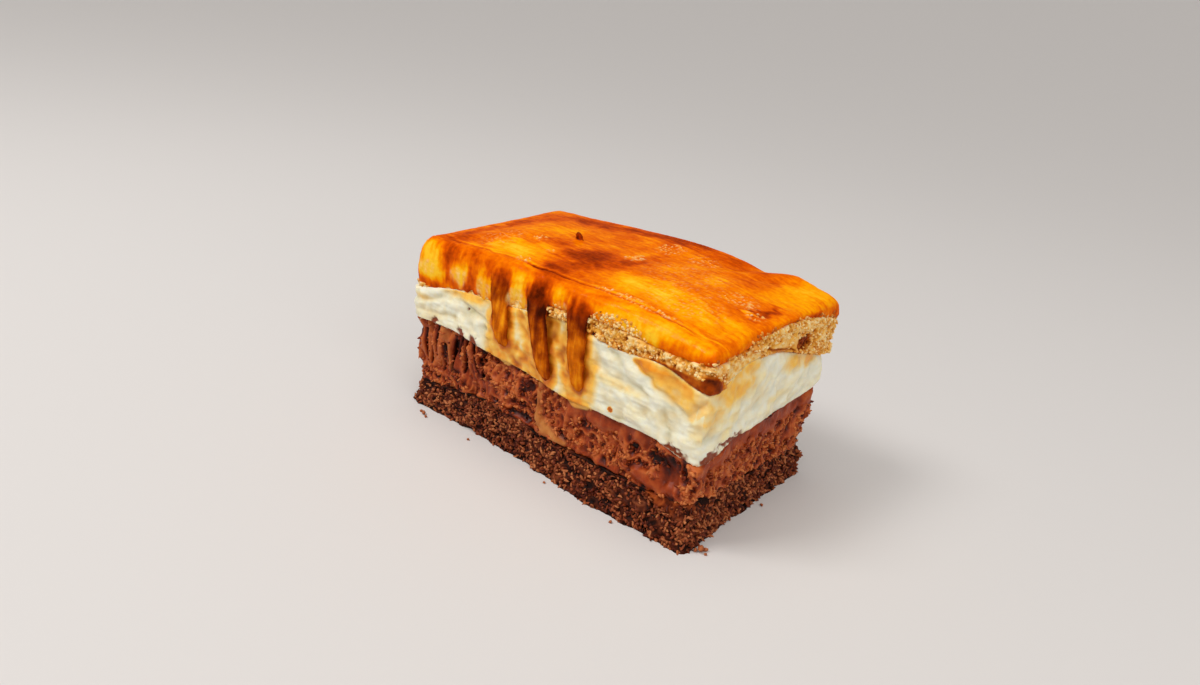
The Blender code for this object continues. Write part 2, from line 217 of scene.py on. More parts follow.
def combine(tree, operation, first, second, third=None):
    """Do a sum on two or three values."""
    inputs = {0: first, 1: second}
    if third is not None:
        inputs[2] = third
    return wire(tree, "ShaderNodeMath", inputs, operation=operation).outputs[0]


def blend_of(tree, share, first, second):
    """Mix two colours by a share of the second."""
    node = wire(tree, "ShaderNodeMix", {"Factor": share}, data_type="RGBA")
    tree.links.new(first, node.inputs[6])
    tree.links.new(second, node.inputs[7])
    return node.outputs[2]


def new_material(name):
    """Make an empty material, and give its tree and its shader."""
    material = bpy.data.materials.new(name)
    material.use_nodes = True
    tree = material.node_tree
    return material, tree, tree.nodes["Principled BSDF"]


def make_grain():
    """Build the fine uneven grain that every layer has: a mottle, specks and a height."""
    tree = bpy.data.node_groups.new("food_grain", "ShaderNodeTree")
    for name in ("Grains", "Specks"):
        tree.interface.new_socket(name, in_out="INPUT", socket_type="NodeSocketFloat")
    for name in ("Mottle", "Speck", "Height"):
        tree.interface.new_socket(name, in_out="OUTPUT", socket_type="NodeSocketFloat")
    given = tree.nodes.new("NodeGroupInput")
    place = wire(tree, "ShaderNodeTexCoord").outputs["Object"]
    mottle = wire(tree, "ShaderNodeTexNoise",
                  {"Vector": place, "Scale": given.outputs["Grains"], "Detail": 4.0})
    speck = wire(tree, "ShaderNodeTexVoronoi",
                 {"Vector": place, "Scale": given.outputs["Specks"], "Randomness": 1.0})
    sparse = wire(tree, "ShaderNodeMapRange",
                  {"Value": speck.outputs["Distance"], "From Min": 0.05, "From Max": 0.3,
                   "To Min": 1.0, "To Max": 0.0})
    height = combine(tree, "MULTIPLY_ADD", sparse.outputs["Result"], -0.5,
                     mottle.outputs["Fac"])
    wire(tree, "NodeGroupOutput", {"Mottle": mottle.outputs["Fac"],
                                   "Speck": sparse.outputs["Result"], "Height": height})
    return tree


food_grain = make_grain()


def grain(tree, grains, specks):
    """Place the grain in a material, with so many grains and specks to the metre."""
    return wire(tree, "ShaderNodeGroup", {"Grains": grains, "Specks": specks},
                node_tree=food_grain)


def mottled(tree, fine, value, amount):
    """Make a value uneven by the mottle of the grain."""
    uneven = combine(tree, "MULTIPLY_ADD", fine.outputs["Mottle"], amount, value)
    return combine(tree, "SUBTRACT", uneven, amount / 2)


def bump(tree, fine, strength, distance):
    """Turn the height of the grain into a normal."""
    return wire(tree, "ShaderNodeBump", {"Height": fine.outputs["Height"], "Strength": strength,
                                         "Distance": distance * MM}).outputs["Normal"]


def finish(tree, shader, colour, normal, roughness, gloss, soft=0.0, depths=()):
    """Give a shader its colour, normal and shine, and how deep red, green and blue light goes."""
    tree.links.new(colour, shader.inputs["Base Color"])
    tree.links.new(normal, shader.inputs["Normal"])
    shader.inputs["Roughness"].default_value = roughness
    shader.inputs["Specular IOR Level"].default_value = gloss
    if depths:
        shader.inputs["Subsurface Weight"].default_value = soft
        shader.inputs["Subsurface Radius"].default_value = [depth * MM for depth in depths]
        shader.inputs["Subsurface Scale"].default_value = 1.0


def chocolate_crumb():
    """Dark sponge: painted light on the backs of crumb, painted shade near-black in the gaps, and
    brown where mousse is smeared.
    """
    material, tree, shader = new_material("chocolate_crumb")
    fine = grain(tree, 900.0, 700.0)
    lit = mottled(tree, fine, mark_of(tree, "crumb"), 0.5)
    bare = shade(tree, lit, ((0.0, "0A0100"), (0.4, "280900"), (0.7, "501C06"), (1.0, "804020")))
    smeared = shade(tree, lit, ((0.0, "2A0A00"), (0.4, "7E2E0C"), (1.0, "B4561E")))
    colour = blend_of(tree, mark_of(tree, "smear"), bare, smeared)
    finish(tree, shader, colour, bump(tree, fine, 0.5, 0.3), 0.6, 0.12)
    return material


def loose_crumb(name, stops, roughness, painted_shade_mark):
    """One tone for each crumb, with painted shade where the piece that it lies on is hollow."""
    material, tree, shader = new_material(name)
    fine = grain(tree, 1400.0, 900.0)
    # Painted shade: the crumb is darker where the mark of the piece below it is low.
    tone = combine(tree, "MULTIPLY_ADD", mark_of(tree, painted_shade_mark), 0.45, -0.32)
    tone = combine(tree, "MULTIPLY_ADD", mark_of(tree, "tone"), 0.65, tone)
    tone = combine(tree, "MULTIPLY_ADD", fine.outputs["Mottle"], 0.7, tone)
    finish(tree, shader, shade(tree, tone, stops), bump(tree, fine, 0.4, 0.2), roughness, 0.2)
    return material


def crumb(name, length, radius, bend):
    """Model one crumb: a short lumpy thread, blunt at both ends and bent."""
    mesh = bmesh.new()
    bmesh.ops.create_uvsphere(mesh, u_segments=5, v_segments=4, radius=1.0)
    for vert in mesh.verts:
        lump = 1.0 + CRUMB_LUMP * noise.noise(vert.co * 1.7 + Vector((length, radius, bend)) * 9)
        curl = bend * length * vert.co.z ** 2
        vert.co = Vector((vert.co.x * radius * lump + curl, vert.co.y * radius * lump,
                          vert.co.z * length / 2)) * MM
    return bpy.data.objects.new(name, keep_mesh(mesh, name))


def strewing(name, kinds, per_mm2, seed, sizes):
    """Build the nodes that strew copies of a collection where the mark "open" allows."""
    tree = bpy.data.node_groups.new(name, "GeometryNodeTree")
    tree.interface.new_socket("Geometry", in_out="INPUT", socket_type="NodeSocketGeometry")
    tree.interface.new_socket("Geometry", in_out="OUTPUT", socket_type="NodeSocketGeometry")
    given = tree.nodes.new("NodeGroupInput")
    open_here = wire(tree, "GeometryNodeInputNamedAttribute", {"Name": "open"}, data_type="FLOAT")
    density = wire(tree, "ShaderNodeMath", {0: open_here.outputs[0], 1: per_mm2 / MM ** 2},
                   operation="MULTIPLY")
    spread = wire(tree, "GeometryNodeDistributePointsOnFaces",
                  {"Mesh": given.outputs[0], "Density": density.outputs[0], "Seed": seed})
    kinds_node = wire(tree, "GeometryNodeCollectionInfo",
                      {"Collection": kinds, "Separate Children": True, "Reset Children": True})
    turn = wire(tree, "FunctionNodeRandomValue",
                {0: (-math.pi,) * 3, 1: (math.pi,) * 3, "Seed": seed + 1},
                data_type="FLOAT_VECTOR")
    size = wire(tree, "FunctionNodeRandomValue", {2: sizes[0], 3: sizes[1], "Seed": seed + 2},
                data_type="FLOAT")
    copies = wire(tree, "GeometryNodeInstanceOnPoints",
                  {"Points": spread.outputs["Points"], "Instance": kinds_node.outputs[0],
                   "Pick Instance": True, "Rotation": turn.outputs[0],
                   "Scale": size.outputs[1]})
    tone = wire(tree, "FunctionNodeRandomValue", {2: 0.0, 3: 1.0, "Seed": seed + 3},
                data_type="FLOAT")
    toned = wire(tree, "GeometryNodeStoreNamedAttribute",
                 {"Geometry": copies.outputs[0], "Name": "tone", "Value": tone.outputs[1]},
                 data_type="FLOAT", domain="INSTANCE")
    joined = wire(tree, "GeometryNodeRealizeInstances", {"Geometry": toned.outputs[0]})
    wire(tree, "NodeGroupOutput", {0: joined.outputs[0]})
    return tree


def scatter(name, carrier, crumbs, per_mm2, seed, sizes):
    """Strew crumbs, given by length, radius and bend, over a piece and keep them as one mesh."""
    kinds = bpy.data.collections.new(name + "_kinds")
    shapes = [crumb(name + "_" + str(index), *form) for index, form in enumerate(crumbs)]
    for shape in shapes:
        kinds.objects.link(shape)
    tree = strewing(name, kinds, per_mm2, seed, sizes)
    maker = add_object(name, carrier.data)
    maker.modifiers.new("scatter", "NODES").node_group = tree
    view = bpy.context.evaluated_depsgraph_get()
    strewn = bpy.data.meshes.new_from_object(maker.evaluated_get(view))
    maker.modifiers.clear()
    strewn.materials.clear()
    # Crumbs that reach the floor lie on it.
    places = np.empty(3 * len(strewn.vertices), np.float32)
    strewn.vertices.foreach_get("co", places)
    places[2::3] = np.maximum(places[2::3], 0.0)
    strewn.vertices.foreach_set("co", places)
    strewn.update()
    maker.data = strewn
    for shape in shapes:
        bpy.data.objects.remove(shape)
    bpy.data.collections.remove(kinds)
    bpy.data.node_groups.remove(tree)
    return maker


sponge = fine_copy("sponge_base", "sponge_base_crumb", SPONGE_CELL)
work_over(sponge, sponge_rule, ("crumb", "open", "smear"))
sponge.data.materials.append(chocolate_crumb())
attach(sponge, "root")
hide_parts("sponge_base")

SPONGE_CRUMBS = ((1.3, 0.40, 0.15), (1.9, 0.34, 0.25), (1.0, 0.48, 0.1), (2.3, 0.36, 0.2))
sponge_crumbs = scatter("sponge_base_threads", sponge, SPONGE_CRUMBS, 3.6, 5, (0.5, 1.1))
sponge_crumbs.data.materials.append(loose_crumb(
    "loose_chocolate_crumb", ((0.0, "1C0400"), (0.35, "581A06"), (0.65, "90421E"), (1.0, "C27646")),
    0.5, "crumb"))
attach(sponge_crumbs, "root")

# A few crumbs have dropped off by the foot, as place and size.
FALLEN = (
    ((51.6, -24.6), 1.9), ((52.4, -23.6), 1.1), ((50.8, -25.4), 1.0), ((53.2, -24.8), 0.7),
    ((-39.5, -31.6), 1.2), ((-41.0, -31.2), 0.8), ((-37.6, -32.2), 0.8), ((-20.5, -31.6), 0.7),
    ((8.0, -31.4), 0.7), ((30.5, -31.8), 0.8), ((51.4, 4.0), 0.8), ((-51.0, 8.0), 0.9),
)
# Such a crumb at size 1, and the tilt that lays it down.
FALLEN_LENGTH = 1.2
FALLEN_RADIUS = 0.5
FALLEN_TILT = 1.2


def drop_crumbs(name, places):
    """Lay single crumbs on the floor and join them into one mesh."""
    joined = bmesh.new()
    for index, ((across, along), size) in enumerate(places):
        shape = crumb(name + str(index), FALLEN_LENGTH, FALLEN_RADIUS, 0.1 + 0.02 * index)
        turn = Matrix.Rotation(index * 1.7, 4, "Z") @ Matrix.Rotation(FALLEN_TILT, 4, "X")
        shape.data.transform(turn @ Matrix.Scale(size, 4))
        lowest = min(vert.co.z for vert in shape.data.vertices)
        shape.data.transform(Matrix.Translation(Vector((across * MM, along * MM, -lowest))))
        joined.from_mesh(shape.data)
        bpy.data.objects.remove(shape)
    data = keep_mesh(joined, name)
    # A middle tone, and a middle value for the painted shade that the crumb mark gives.
    for mark in ("tone", "crumb"):
        kept = data.attributes.new(mark, "FLOAT", "POINT")
        kept.data.foreach_set("value", [0.7] * len(data.vertices))
    return add_object(name, data)


fallen = drop_crumbs("fallen_sponge_crumbs", FALLEN)
fallen.data.materials.append(sponge_crumbs.data.materials[0])
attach(fallen, "root")


# ------------------------------------------------------------------ The chocolate mousse
# A thick layer of set mousse lies on the base. The knife pulled it up in torn strands with dark
# gaps, and smeared it smooth just under the cream.

MOUSSE_CELL = 0.32
# What lies in front of here belongs to the front, unless it faces right.
MOUSSE_FRONT = -26.0
# Left of one place and above one height, the torn mousse hangs in upright strands.
STRANDS_END = -24.0
STRANDS_FOOT = 10.5
# How deep under the cream it is smeared smooth, and from where to where on the front.
SMEAR_DEPTH = 5.0
SMEAR_FROM = 8.0
SMEAR_TO = 37.0
# Left of one place and above one height, it bulges.
BULGE_END = -43.0
BULGE_FOOT = 16.0
# A smooth lip where the mousse sags over the base: its run along X, its height and its reach.
LIP = (-19.0, 27.0, 10.2, 1.5)
# A hollow where the mousse broke out, sunk and a little darkened by painted shade, and a smooth
# lump under it, as place and reach.
HOLLOW = ((36.0, 17.0), (12.0, 5.0))
LUMP = ((37.0, 12.5), (11.0, 2.6))
# A ragged break under the cream near the front right corner, sunk and darkened with painted
# shade, as place and reach.
BREAK = ((41.0, 19.4), (8.5, 3.2))
# Milky runs over the mousse, as points down the front and half widths there.
MILKY_RUNS = (
    (((-0.9, 25.0), 1.3), ((-0.8, 21.0), 1.2), ((-0.6, 17.0), 1.6), ((0.2, 13.4), 2.4),
     ((3.0, 11.8), 2.0), ((6.5, 11.1), 1.6), ((9.5, 10.9), 0.9)),
    (((-37.6, 27.0), 1.4), ((-36.0, 22.0), 1.0), ((-34.8, 18.0), 0.8), ((-33.4, 13.8), 0.7)),
)
RUN_STRENGTH = (0.95, 0.6)
# The runs are fainter above this height.
RUNS_FAINT_ABOVE = 15.0
# Gaps between the torn strands at the left, sunk and darkened with painted shade, as two ends
# each.
CREVICES = (
    ((-45.4, 23.0), (-44.8, 15.0)), ((-41.0, 26.5), (-43.2, 13.5)), ((-39.2, 27.0), (-40.4, 17.0)),
    ((-33.0, 24.5), (-34.0, 12.0)), ((-30.4, 26.5), (-31.6, 20.0)), ((-28.8, 24.0), (-29.4, 15.5)),
    ((-25.6, 26.0), (-24.6, 17.5)), ((-22.2, 22.0), (-22.4, 16.0)), ((-37.4, 21.0), (-38.4, 13.0)),
)
# Golden cream that has run down over the mousse, as place and reach.
TONGUES = (((-14.8, 25.6), (3.4, 2.6)), ((11.6, 23.4), (4.6, 2.0)), ((-6.0, 25.4), (3.0, 1.2)),
           ((-21.0, 26.4), (2.0, 1.8)))
# It lies in front of here, and is golden between two places.
TONGUES_FRONT = -23.0
GOLDEN_FROM = -20.0
GOLDEN_TO = 18.0


def layer_tree(node):
    """Make a search tree of a CAD layer, so that its neighbours can tell how near it is."""
    mesh = bmesh.new()
    mesh.from_mesh(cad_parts[node].data)
    tree = BVHTree.FromBMesh(mesh)
    mesh.free()
    return tree


def distance_to(tree, place):
    """Give the distance from a place to a layer."""
    return tree.find_nearest(place * MM)[3] / MM


def fade(value, start, reach):
    """Give 0 up to a start and 1 past a reach. A reach below 0 goes the other way."""
    return limit((value - start) / reach)


def run_cover(across, up, points):
    """Give how well a run covers a place: 1 on its middle line and 0 past its edge."""
    best = 0.0
    for (start, start_half), (end, end_half) in zip(points, points[1:]):
        along = (end[0] - start[0], end[1] - start[1])
        span = along[0] ** 2 + along[1] ** 2
        share = limit(((across - start[0]) * along[0] + (up - start[1]) * along[1]) / span)
        half = start_half + (end_half - start_half) * share
        off = math.hypot(across - start[0] - along[0] * share, up - start[1] - along[1] * share)
        best = max(best, 1.0 - off / half)
    return best


cream_tree = layer_tree("cream_layer")


def front_of_mousse(place, wave, smooth):
    """Give the relief, light, smoothness and milk of the forms on the front."""
    out = 0.0
    start, end, height, reach = LIP
    if start < place.x < end:
        lip = limit(1.0 - abs(place.z - height - 0.5 * wave) / reach)
        smooth = max(smooth, lip)
        out += 0.7 * lip
    hollow = soft_spot(place.x, place.z, *HOLLOW)
    lump = soft_spot(place.x, place.z, *LUMP)
    broken = soft_spot(place.x, place.z, *BREAK)
    smooth = max(smooth, limit(lump * 1.5 - 0.2))
    out += 0.9 * lump - 0.9 * hollow
    out -= 0.8 * broken
    out += 1.3 * fade(place.x, BULGE_END, -4.0) * fade(place.z, BULGE_FOOT, 6.0)
    # Painted shade darkens the hollow, the break and the gaps between strands.
    lit = -0.1 * hollow - 0.3 * broken
    for top, foot in CREVICES:
        gap = run_cover(place.x + 0.7 * wave, place.z, ((top, 1.0), (foot, 0.5)))
        out -= 1.9 * gap
        lit -= 1.3 * gap
    milk = 0.0
    for points, strength in zip(MILKY_RUNS, RUN_STRENGTH):
        cover = run_cover(place.x + 0.5 * wave, place.z, points)
        clear = 1.0 - 0.3 * fade(place.z, RUNS_FAINT_ABOVE, 3.0)
        milk = max(milk, limit(cover * 1.8) * strength * clear)
        out += 0.7 * strength * math.sqrt(cover)
    return out, lit, smooth, milk


def mousse_rule(place, facing):
    """Give the relief of the mousse, and its marks: lit, milk, cream, gold and open."""
    side = 1.0 - abs(facing.z)
    front = facing.y < -0.4 or (place.y < MOUSSE_FRONT and facing.x < 0.7)
    right = facing.x > 0.4 and not front
    # Upright strands at the left, curly crumb elsewhere.
    strand = fade(place.x, STRANDS_END, -6.0) * fade(place.z, STRANDS_FOOT, 4.0)
    drawn = Vector((place.x, place.y, place.z / (1.4 + 3.6 * strand)))
    rise = threads(drawn, 2.3, 2.0, 3.0)
    rise += (threads(drawn, 3.4, 1.7, 8.0) - rise) * strand
    wave = noise.noise(drawn / 3.2)
    cloud = noise.noise(place / 6.0 + Vector((9.0, 2.0, 4.0)))
    below_cream = distance_to(cream_tree, place)
    smooth = 0.0
    if right or (front and place.x > SMEAR_FROM):
        smooth = fade(below_cream, SMEAR_DEPTH + 2.0 * wave, -2.0)
        if front:
            smooth *= fade(place.x, SMEAR_TO, -4.0)
    smooth = max(smooth, limit(cloud * 4.0 - 0.8) * 0.8)
    out = lit = milk = white = 0.0
    if front:
        out, lit, smooth, milk = front_of_mousse(place, wave, smooth)
    if place.y < TONGUES_FRONT:
        for centre, reach in TONGUES:
            white = max(white, limit(soft_spot(place.x + wave, place.z, centre, reach) * 3.0))
    torn = 1.0 - 0.9 * max(smooth, milk, white)
    # Ragged cream also reaches down between the strands.
    if place.x < GOLDEN_TO:
        tongue = noise.noise(Vector((place.x / 1.4, place.y / 1.4, 3.0))) * 1.7
        white = max(white, fade(below_cream, tongue + 0.1, -0.4))
    deep = 1.3 + 0.5 * strand
    out = side * (out + torn * (deep * rise - deep * 0.75) + 0.7 * wave + 0.3 * white)
    out += CLOSE_GAP * abs(facing.z)
    # Painted light and shade: lighter on the backs of torn threads, darker in the gaps.
    lit += (0.1 + rise) * torn + 0.62 * (1.0 - torn) + 0.3 * wave
    open_here = max(0.0, side - 0.3) * (torn - 0.1) * limit(0.7 + wave) * (1.0 - 0.8 * strand)
    gold = limit(0.7 * (GOLDEN_FROM < place.x < GOLDEN_TO) + 0.05 + 0.35 * wave)
    return out, limit(lit), milk, white, gold, open_here


def mousse_finish():
    """Milk-chocolate brown with a satin skin; painted light on torn threads and painted shade in
    their gaps.
    """
    material, tree, shader = new_material("chocolate_mousse_satin")
    fine = grain(tree, 600.0, 500.0)
    lit = mottled(tree, fine, mark_of(tree, "lit"), 0.5)
    cocoa = shade(tree, lit, ((0.0, "1E0400"), (0.3, "561502"), (0.65, "963810"), (1.0, "C0622C")))
    milky = shade(tree, lit, ((0.0, "762A06"), (0.5, "AC5E24"), (1.0, "CE8C4A")))
    creamy = shade(tree, mark_of(tree, "gold"), ((0.0, "EEE8CC"), (0.5, "F0C470"), (1.0, "E4942C")))
    runny = blend_of(tree, mark_of(tree, "milk"), cocoa, milky)
    colour = blend_of(tree, mark_of(tree, "cream"), runny, creamy)
    finish(tree, shader, colour, bump(tree, fine, 0.4, 0.4), 0.42, 0.2, 0.1, (0.8, 0.35, 0.2))
    return material


mousse = fine_copy("chocolate_mousse", "chocolate_mousse_torn", MOUSSE_CELL)
work_over(mousse, mousse_rule, ("lit", "milk", "cream", "gold", "open"))
mousse.data.materials.append(mousse_finish())
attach(mousse, "root")
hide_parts("chocolate_mousse")

SHREDS = ((1.5, 0.42, 0.15), (2.2, 0.38, 0.2), (1.1, 0.52, 0.1))
mousse_shreds = scatter("chocolate_mousse_shreds", mousse, SHREDS, 2.6, 21, (0.5, 1.1))
mousse_shreds.data.materials.append(loose_crumb(
    "torn_mousse_shred", ((0.0, "200500"), (0.35, "641C06"), (0.65, "A04218"), (1.0, "D0783E")),
    0.42, "lit"))
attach(mousse_shreds, "root")


# ------------------------------------------------------------------ The cheese cream
# A deep layer of whipped cheese cream: off-white, set in soft lumps and lightly scored by the
# knife. Caramel from above has soaked into it in golden stains.

CREAM_CELL = 0.32
# Golden stains on the front and on the right end, as place, reach and strength.
FRONT_STAINS = (
    ((-17.5, 33.0), (4.5, 13.0), 0.55), ((-4.5, 30.0), (3.5, 10.0), 0.6),
    ((9.0, 30.0), (4.0, 10.0), 0.55), ((15.5, 31.0), (3.5, 9.0), 0.5),
    ((-30.0, 39.5), (14.0, 3.4), 0.5),
    ((11.5, 24.0), (6.0, 4.0), 0.6), ((-15.0, 26.5), (5.0, 4.0), 0.6),
    ((24.0, 33.0), (9.0, 1.5), 0.2), ((-46.0, 33.5), (6.0, 1.2), 0.2),
    ((22.6, 25.7), (0.9, 0.8), 2.5), ((47.5, 30.5), (3.0, 4.0), 0.2),
)
RIGHT_STAINS = (
    ((-17.0, 38.0), (14.0, 5.0), 0.4), ((-24.0, 34.0), (7.0, 6.0), 0.34),
    ((12.0, 37.5), (8.0, 3.5), 0.4), ((-18.0, 27.5), (4.0, 2.5), 0.15),
    ((-15.0, 31.5), (3.0, 2.0), 0.2), ((20.0, 36.0), (5.0, 2.5), 0.55),
    ((6.0, 30.0), (7.0, 1.5), 0.15), ((-12.0, 41.5), (9.0, 2.5), 0.45),
)
# The broad stain under the front right corner, as points along it and half widths there. It is
# stronger above one height.
CORNER_STAIN = (((29.0, 40.6), 1.6), ((36.0, 38.8), 3.8), ((42.5, 37.0), 5.2), ((45.0, 33.4), 2.0))
CORNER_STAIN_RISE = 37.0
# Where the drips have soaked the front, from this place along X to that one.
SOAKED_FROM = -22.0
SOAKED_TO = 18.0
# Slanting furrows of the front, where one spoonful lies on another, as two ends.
FURROWS = (
    ((-49.0, 32.0), (-39.0, 34.5)), ((-48.0, 29.5), (-33.0, 31.0)), ((-31.0, 36.5), (-20.0, 33.5)),
    ((17.0, 35.5), (33.0, 33.5)), ((29.0, 39.8), (43.5, 32.6)), ((38.0, 31.0), (40.0, 25.0)),
    ((44.0, 32.5), (49.0, 38.5)), ((-22.0, 31.5), (-19.5, 27.0)),
)
# A pinhole at the left, sunk and filled with painted shade in mousse brown, as place and
# reach.
PINHOLE = ((-28.2, 34.8), (0.45, 0.45))
# Torn mousse that reaches up into the cream in dark wedges, as place and reach.
WEDGES = (((-40.2, 26.8), (1.5, 2.6)), ((-30.0, 27.0), (1.5, 2.6)), ((-25.6, 26.2), (1.5, 2.6)),
          ((41.4, 21.5), (5.6, 3.0)))
RIGHT_WEDGES = (((-22.6, 22.4), (3.2, 2.8)), ((-14.0, 24.4), (6.0, 1.0)))

glaze_tree = layer_tree("yolk_glaze")
mousse_tree = layer_tree("chocolate_mousse")


def strongest(across, up, spots):
    """Give the strength of the strongest spot of a table at a place."""
    return max(strength * soft_spot(across, up, centre, reach) for centre, reach, strength in spots)


def front_of_cream(place, lump, soft):
    """Give the gold, the furrow and the bed under the runs at a place of the front."""
    gold = strongest(place.x, place.z, FRONT_STAINS)
    furrow = max(run_cover(place.x + 0.6 * soft, place.z + 0.8 * soft, ((start, 1.7), (end, 1.2)))
                 for start, end in FURROWS)
    across = place.x + 2.6 * noise.noise(Vector((2.0, 0.0, place.z / 3.0))) + lump
    runs = fade(across, SOAKED_FROM, 4.0) * fade(across, SOAKED_TO, -4.0)
    bed = limit(1.15 - distance_to(glaze_tree, place) / 2.6) * runs
    gold = max(gold, limit(bed * 1.1), runs * limit(0.36 - 0.6 * lump))
    stain = run_cover(place.x + soft, place.z + 1.2 * soft, CORNER_STAIN)
    rise = fade(place.z, CORNER_STAIN_RISE, 5.0)
    gold = max(gold, limit(stain * 2.0) * (0.32 + 0.45 * rise))
    return gold, furrow, bed


def cocoa_on_cream(place, facing):
    """Give the mousse brown: torn mousse along the mousse and in wedges, painted shade in the
    pinhole.
    """
    near = 0.35 + 0.5 * noise.noise(place / 1.1)
    cocoa = fade(distance_to(mousse_tree, place), near, -0.5)
    ragged = 1.2 * noise.noise(place / 1.3)
    up = place.z + 1.4 * noise.noise(place / 0.9)
    if facing.y < -0.3:
        cocoa = max(cocoa, 3.0 * soft_spot(place.x, place.z, *PINHOLE))
        for centre, reach in WEDGES:
            cocoa = max(cocoa, 2.0 * soft_spot(place.x + ragged, up, centre, reach))
    if facing.x > 0.3:
        for centre, reach in RIGHT_WEDGES:
            cocoa = max(cocoa, 2.0 * soft_spot(place.y + ragged, up, centre, reach))
    return limit(cocoa)


def cream_rule(place, facing):
    """Give the relief of the cream, and its marks: gold, cocoa and shadow."""
    side = 1.0 - abs(facing.z)
    lump = noise.noise(place / 4.2) + 0.5 * noise.noise(place / 1.9)
    soft = noise.noise(Vector((place.x / 5, place.y / 5, place.z / 2.2)))
    score = noise.noise(Vector((place.x / 4, place.y / 4, place.z / 0.7)))
    gold = furrow = bed = 0.0
    if facing.y < -0.3:
        gold, furrow, bed = front_of_cream(place, lump, soft)
    if facing.x > 0.3:
        gold = max(gold, strongest(place.y, place.z, RIGHT_STAINS))
    uneven = noise.noise(place / 1.5) * 0.5 + noise.noise(place / 3.6) * 0.5
    gold = limit(gold + gold * uneven * 0.5 + 0.12 * soft + 0.07)
    shadow = limit(0.4 * furrow + 0.62 * max(0.0, -lump) + 0.45 * max(0.0, -soft) + 0.05)
    cocoa = cocoa_on_cream(place, facing)
    out = side * (0.7 * lump + 0.35 * soft + 0.14 * score - 0.7 * furrow + 0.5 * bed)
    return out + CLOSE_GAP * abs(facing.z) - 0.5 * cocoa * side, gold, cocoa, shadow


def cream_finish():
    """Soft off-white that light goes into, golden where caramel has soaked in."""
    material, tree, shader = new_material("cheese_cream_soft")
    fine = grain(tree, 500.0, 300.0)
    gold = mottled(tree, fine, mark_of(tree, "gold"), 0.3)
    clean = shade(tree, gold, ((0.0, "F5F5E4"), (0.22, "F7E8B4"), (0.45, "FCC654"),
                               (0.7, "F49A1C"), (1.0, "CC6404")))
    dim = shade(tree, gold, ((0.0, "CCC294"), (0.45, "E8A840"), (1.0, "A85204")))
    shaded = blend_of(tree, mark_of(tree, "shadow"), clean, dim)
    # Mousse brown, for torn mousse that shows and for the painted shade in the pinhole.
    mousse_brown_and_pinhole_shade = wire(tree, "ShaderNodeRGB").outputs[0]
    mousse_brown_and_pinhole_shade.default_value = tint("863810")
    colour = blend_of(tree, mark_of(tree, "cocoa"), shaded, mousse_brown_and_pinhole_shade)
    finish(tree, shader, colour, bump(tree, fine, 0.5, 0.5), 0.38, 0.3, 0.2, (1.2, 1.0, 0.6))
    return material


cream = fine_copy("cream_layer", "cheese_cream_folds", CREAM_CELL)
work_over(cream, cream_rule, ("gold", "cocoa", "shadow"))
cream.data.materials.append(cream_finish())
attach(cream, "root")
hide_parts("cream_layer")


# ------------------------------------------------------------------ The vanilla sponge
# A thin sheet of pale sponge lies on the cream, pressed out in small lumps of crumb at the cut.
# It is soaked with caramel at the left, under the drips and at the front right corner.

VANILLA_CELL = 0.28
# Where caramel has soaked it, on the front and on the right end, as place, reach and strength.
FRONT_SOAKS = (
    ((36.0, 42.3), (9.0, 2.2), 0.9), ((-2.0, 42.0), (5.0, 6.0), 1.2),
    ((10.5, 43.0), (5.5, 4.0), 1.1), ((-16.0, 42.0), (4.0, 5.0), 1.0),
    ((22.0, 42.0), (6.0, 1.3), 0.5), ((47.0, 46.0), (3.0, 1.5), 0.6),
)
RIGHT_SOAKS = (
    ((-24.5, 42.0), (5.0, 3.4), 1.1), ((-13.5, 46.0), (6.0, 2.6), 1.3),
    ((13.0, 43.0), (5.0, 3.0), 0.9), ((2.0, 43.0), (7.0, 0.9), 0.7),
    ((21.0, 39.0), (4.0, 2.0), 0.6), ((12.5, 43.0), (4.4, 3.4), 1.3),
)
# A slab of crumb on the right end that came off clean, as place and reach.
RIGHT_SLAB = ((3.0, 43.2), (8.5, 3.4))
# A hole in the crumb there, and a curved crack as points along it and half widths. Both are sunk
# and darkened with painted shade.
RIGHT_HOLE = ((12.3, 43.0), (3.2, 2.6))
RIGHT_CRACK = (((-4.0, 44.6), 0.4), ((1.0, 43.4), 0.8), ((9.0, 41.4), 0.4))
# Cream is smeared up over the crumb on the right end, as place and reach.
RIGHT_FILM = ((-13.5, 42.6), (8.5, 3.6))
# A puddle of dark caramel under the front right corner, on the front and on the right end.
FRONT_PUDDLE = (((28.0, 41.4), 0.5), ((36.0, 42.2), 0.9), ((42.0, 41.4), 2.2), ((51.0, 40.6), 3.4))
RIGHT_PUDDLE = ((-28.5, 40.8), (7.0, 3.2))
# Left of here the front is drowned in cream and glaze, and shows no crumb.
FILM_ENDS = -2.5


